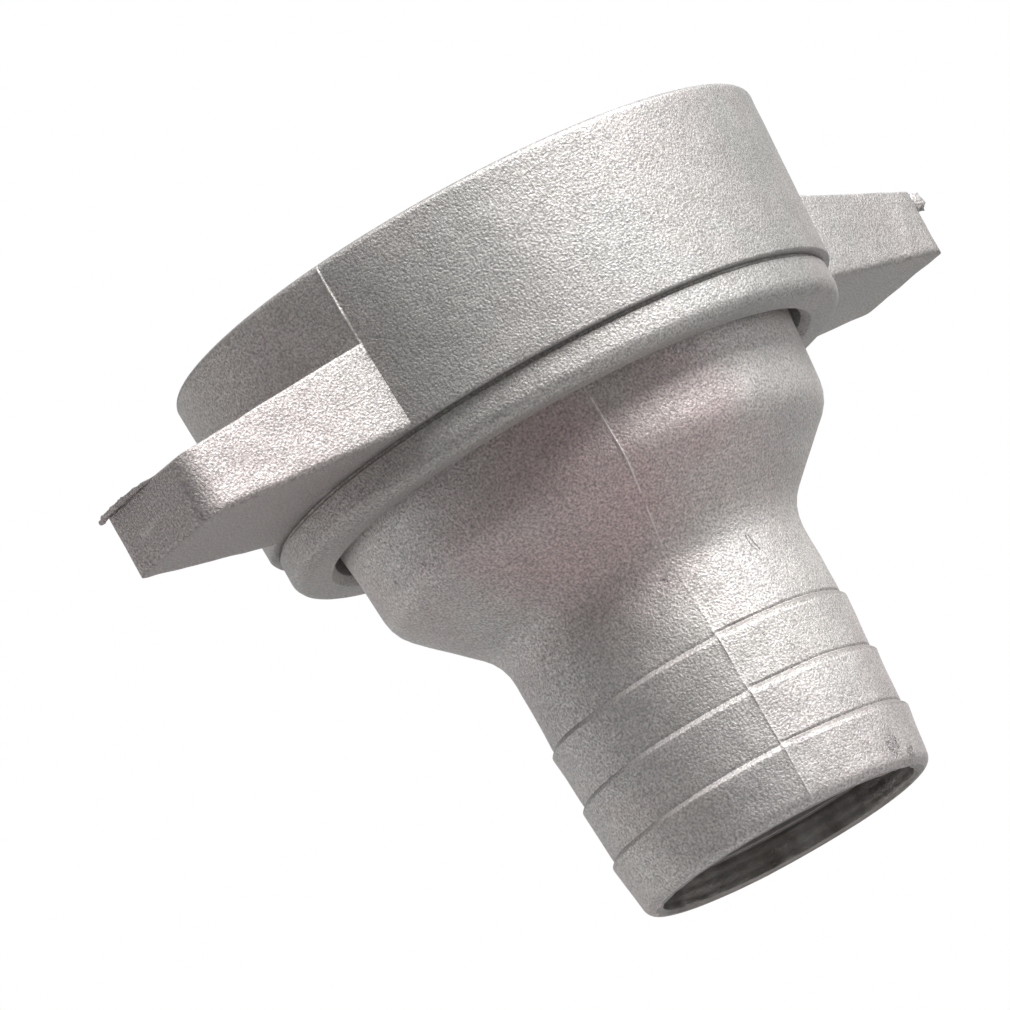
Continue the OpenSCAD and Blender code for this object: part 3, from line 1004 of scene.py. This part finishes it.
def plain_white(name, glows):
    """Matt white; a backdrop that glows is plain white to the eye and in reflections, and lights nothing."""
    n = Tree(name)
    matt = n.add("ShaderNodeBsdfDiffuse")
    matt.inputs["Color"].default_value = STAGE_WHITE
    if not glows:
        n.link(matt.outputs[0], n.surface)
        return n.material
    ray = n.add("ShaderNodeLightPath").outputs
    seen = n.math("MAXIMUM", ray["Is Camera Ray"], ray["Is Glossy Ray"])
    seen = n.math("MAXIMUM", seen, ray["Is Transmission Ray"])
    white = n.add("ShaderNodeEmission")
    white.inputs["Color"].default_value = PLAIN_WHITE
    white.inputs["Strength"].default_value = 1.0
    blend = n.add("ShaderNodeMixShader")
    for socket, source in zip(blend.inputs, (seen, matt.outputs[0], white.outputs[0])):
        n.link(source, socket)
    n.link(blend.outputs[0], n.surface)
    return n.material


def give(obj, *materials):
    obj.data.materials.clear()
    for material in materials:
        obj.data.materials.append(material)


def is_thread_face(r, z):
    """The lathe cut the lead-in, the thread and the runout."""
    return (r < RUNOUT_R + 0.1) & (z > -SKIRT_H) & (r > LIP_HOLE_R + 0.5)


def is_shaded_waterway_face(r, z):
    """The tail's waterway below the seat of the gasket, which the core made; its material is darker by
    painted shade.
    """
    return (r < at_depth(z, TAIL_WALL_MIDDLES)) & (z < -24.4)


def give_inside(obj, chosen):
    """The second material on the faces whose middles are chosen by radius and height in mm."""
    count = len(obj.data.polygons)
    middles = np.empty(count * 3)
    obj.data.polygons.foreach_get("center", middles)
    middles = middles.reshape(-1, 3) / MM
    r = np.hypot(middles[:, 0], middles[:, 1])
    inside = np.where(chosen(r, middles[:, 2]), 1, 0)
    obj.data.polygons.foreach_set("material_index", inside.astype(np.int32))


PIECES = [
    (
        make_nut(), "coupling_nut", "nut", "nut_casting",
        [nut_material(), turned_material()], is_thread_face,
    ),
    (
        make_tail(), "hose_tail", "tail", "tail_casting",
        [tail_material(), waterway_shade_material()], is_shaded_waterway_face,
    ),
    (make_gasket(), "gasket", "seal", "gasket_rubber", [rubber_material()], None),
]
for piece, node, body, slot, materials, inside in PIECES:
    give(piece, *materials)
    if inside:
        give_inside(piece, inside)
    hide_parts(node)
    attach(piece, body)


# Floor, backdrop and lights, in metres
FLOOR_Z = -1.2
FLOOR_HALF = 5.0
BACKDROP_BEHIND = 3.0
BACKDROP_HALF = 2.0
WORLD_STRENGTH = 0.24
LAMP_DISTANCE = 1.3
# Lamps: way from the part's middle as (side, near, mouthward) of the photograph, size, power in watts
LAMPS = {
    "top_box": ((-0.63, 0.40, -0.66), (0.7, 0.7), 29.5),
    "rim_box": ((0.16, 0.43, -0.89), (0.4, 0.4), 5.2),
    "left_box": ((0.95, -0.28, 0.10), (0.6, 0.8), 2.9),
    "right_box": ((-0.99, -0.05, 0.05), (0.5, 0.8), 2.5),
}
PART_MIDDLE = Vector((0, 0, -MOUTH_DEPTH * MM / 2))


def stage_plane(name, centre, across, up, half, material):
    """Square stage sheet in metres, spanned by two directions."""
    signs = ((-1, -1), (1, -1), (1, 1), (-1, 1))
    corners = [centre + across * sx * half + up * sy * half for sx, sy in signs]
    mesh = bpy.data.meshes.new(name)
    mesh.from_pydata([tuple(c) for c in corners], [], [(0, 1, 2, 3)])
    obj = new_object(name, mesh)
    give(obj, material)


def make_stage():
    """Floor below the part, and a backdrop behind it in the photograph's view."""
    along_x, along_y = Vector((1, 0, 0)), Vector((0, 1, 0))
    floor_white = plain_white("floor_white", False)
    stage_plane("floor", Vector((0, 0, FLOOR_Z)), along_x, along_y, FLOOR_HALF, floor_white)
    right, up, forward = from_image(1, 0, 0), from_image(0, -1, 0), from_image(0, 0, 1)
    backdrop_white = plain_white("backdrop_white", True)
    behind = PART_MIDDLE + forward * BACKDROP_BEHIND
    stage_plane("backdrop", behind, right, up, BACKDROP_HALF, backdrop_white)


def make_lamp(name, way, size, power):
    """Soft area lamp, placed by directions of the photograph and aimed at the part's middle."""
    across, towards, down = photo_axes()
    side, near, mouthward = way
    outward = (across * side + towards * near + down * mouthward).normalized()
    data = bpy.data.lights.new(name, "AREA")
    data.shape = "RECTANGLE"
    data.size, data.size_y = size
    data.energy = power
    lamp = bpy.data.objects.new(name, data)
    lamp.location = PART_MIDDLE + outward * LAMP_DISTANCE
    lamp.rotation_euler = (-outward).to_track_quat("-Z", "Y").to_euler()
    bpy.context.scene.collection.objects.link(lamp)


def make_world():
    world = bpy.data.worlds.new("studio")
    world.use_nodes = True
    background = world.node_tree.nodes["Background"]
    background.inputs["Color"].default_value = PLAIN_WHITE
    background.inputs["Strength"].default_value = WORLD_STRENGTH
    bpy.context.scene.world = world


make_stage()
for lamp_name, (lamp_way, lamp_size, lamp_power) in LAMPS.items():
    make_lamp(lamp_name, lamp_way, lamp_size, lamp_power)
make_world()
bpy.context.scene.view_settings.view_transform = "Standard"
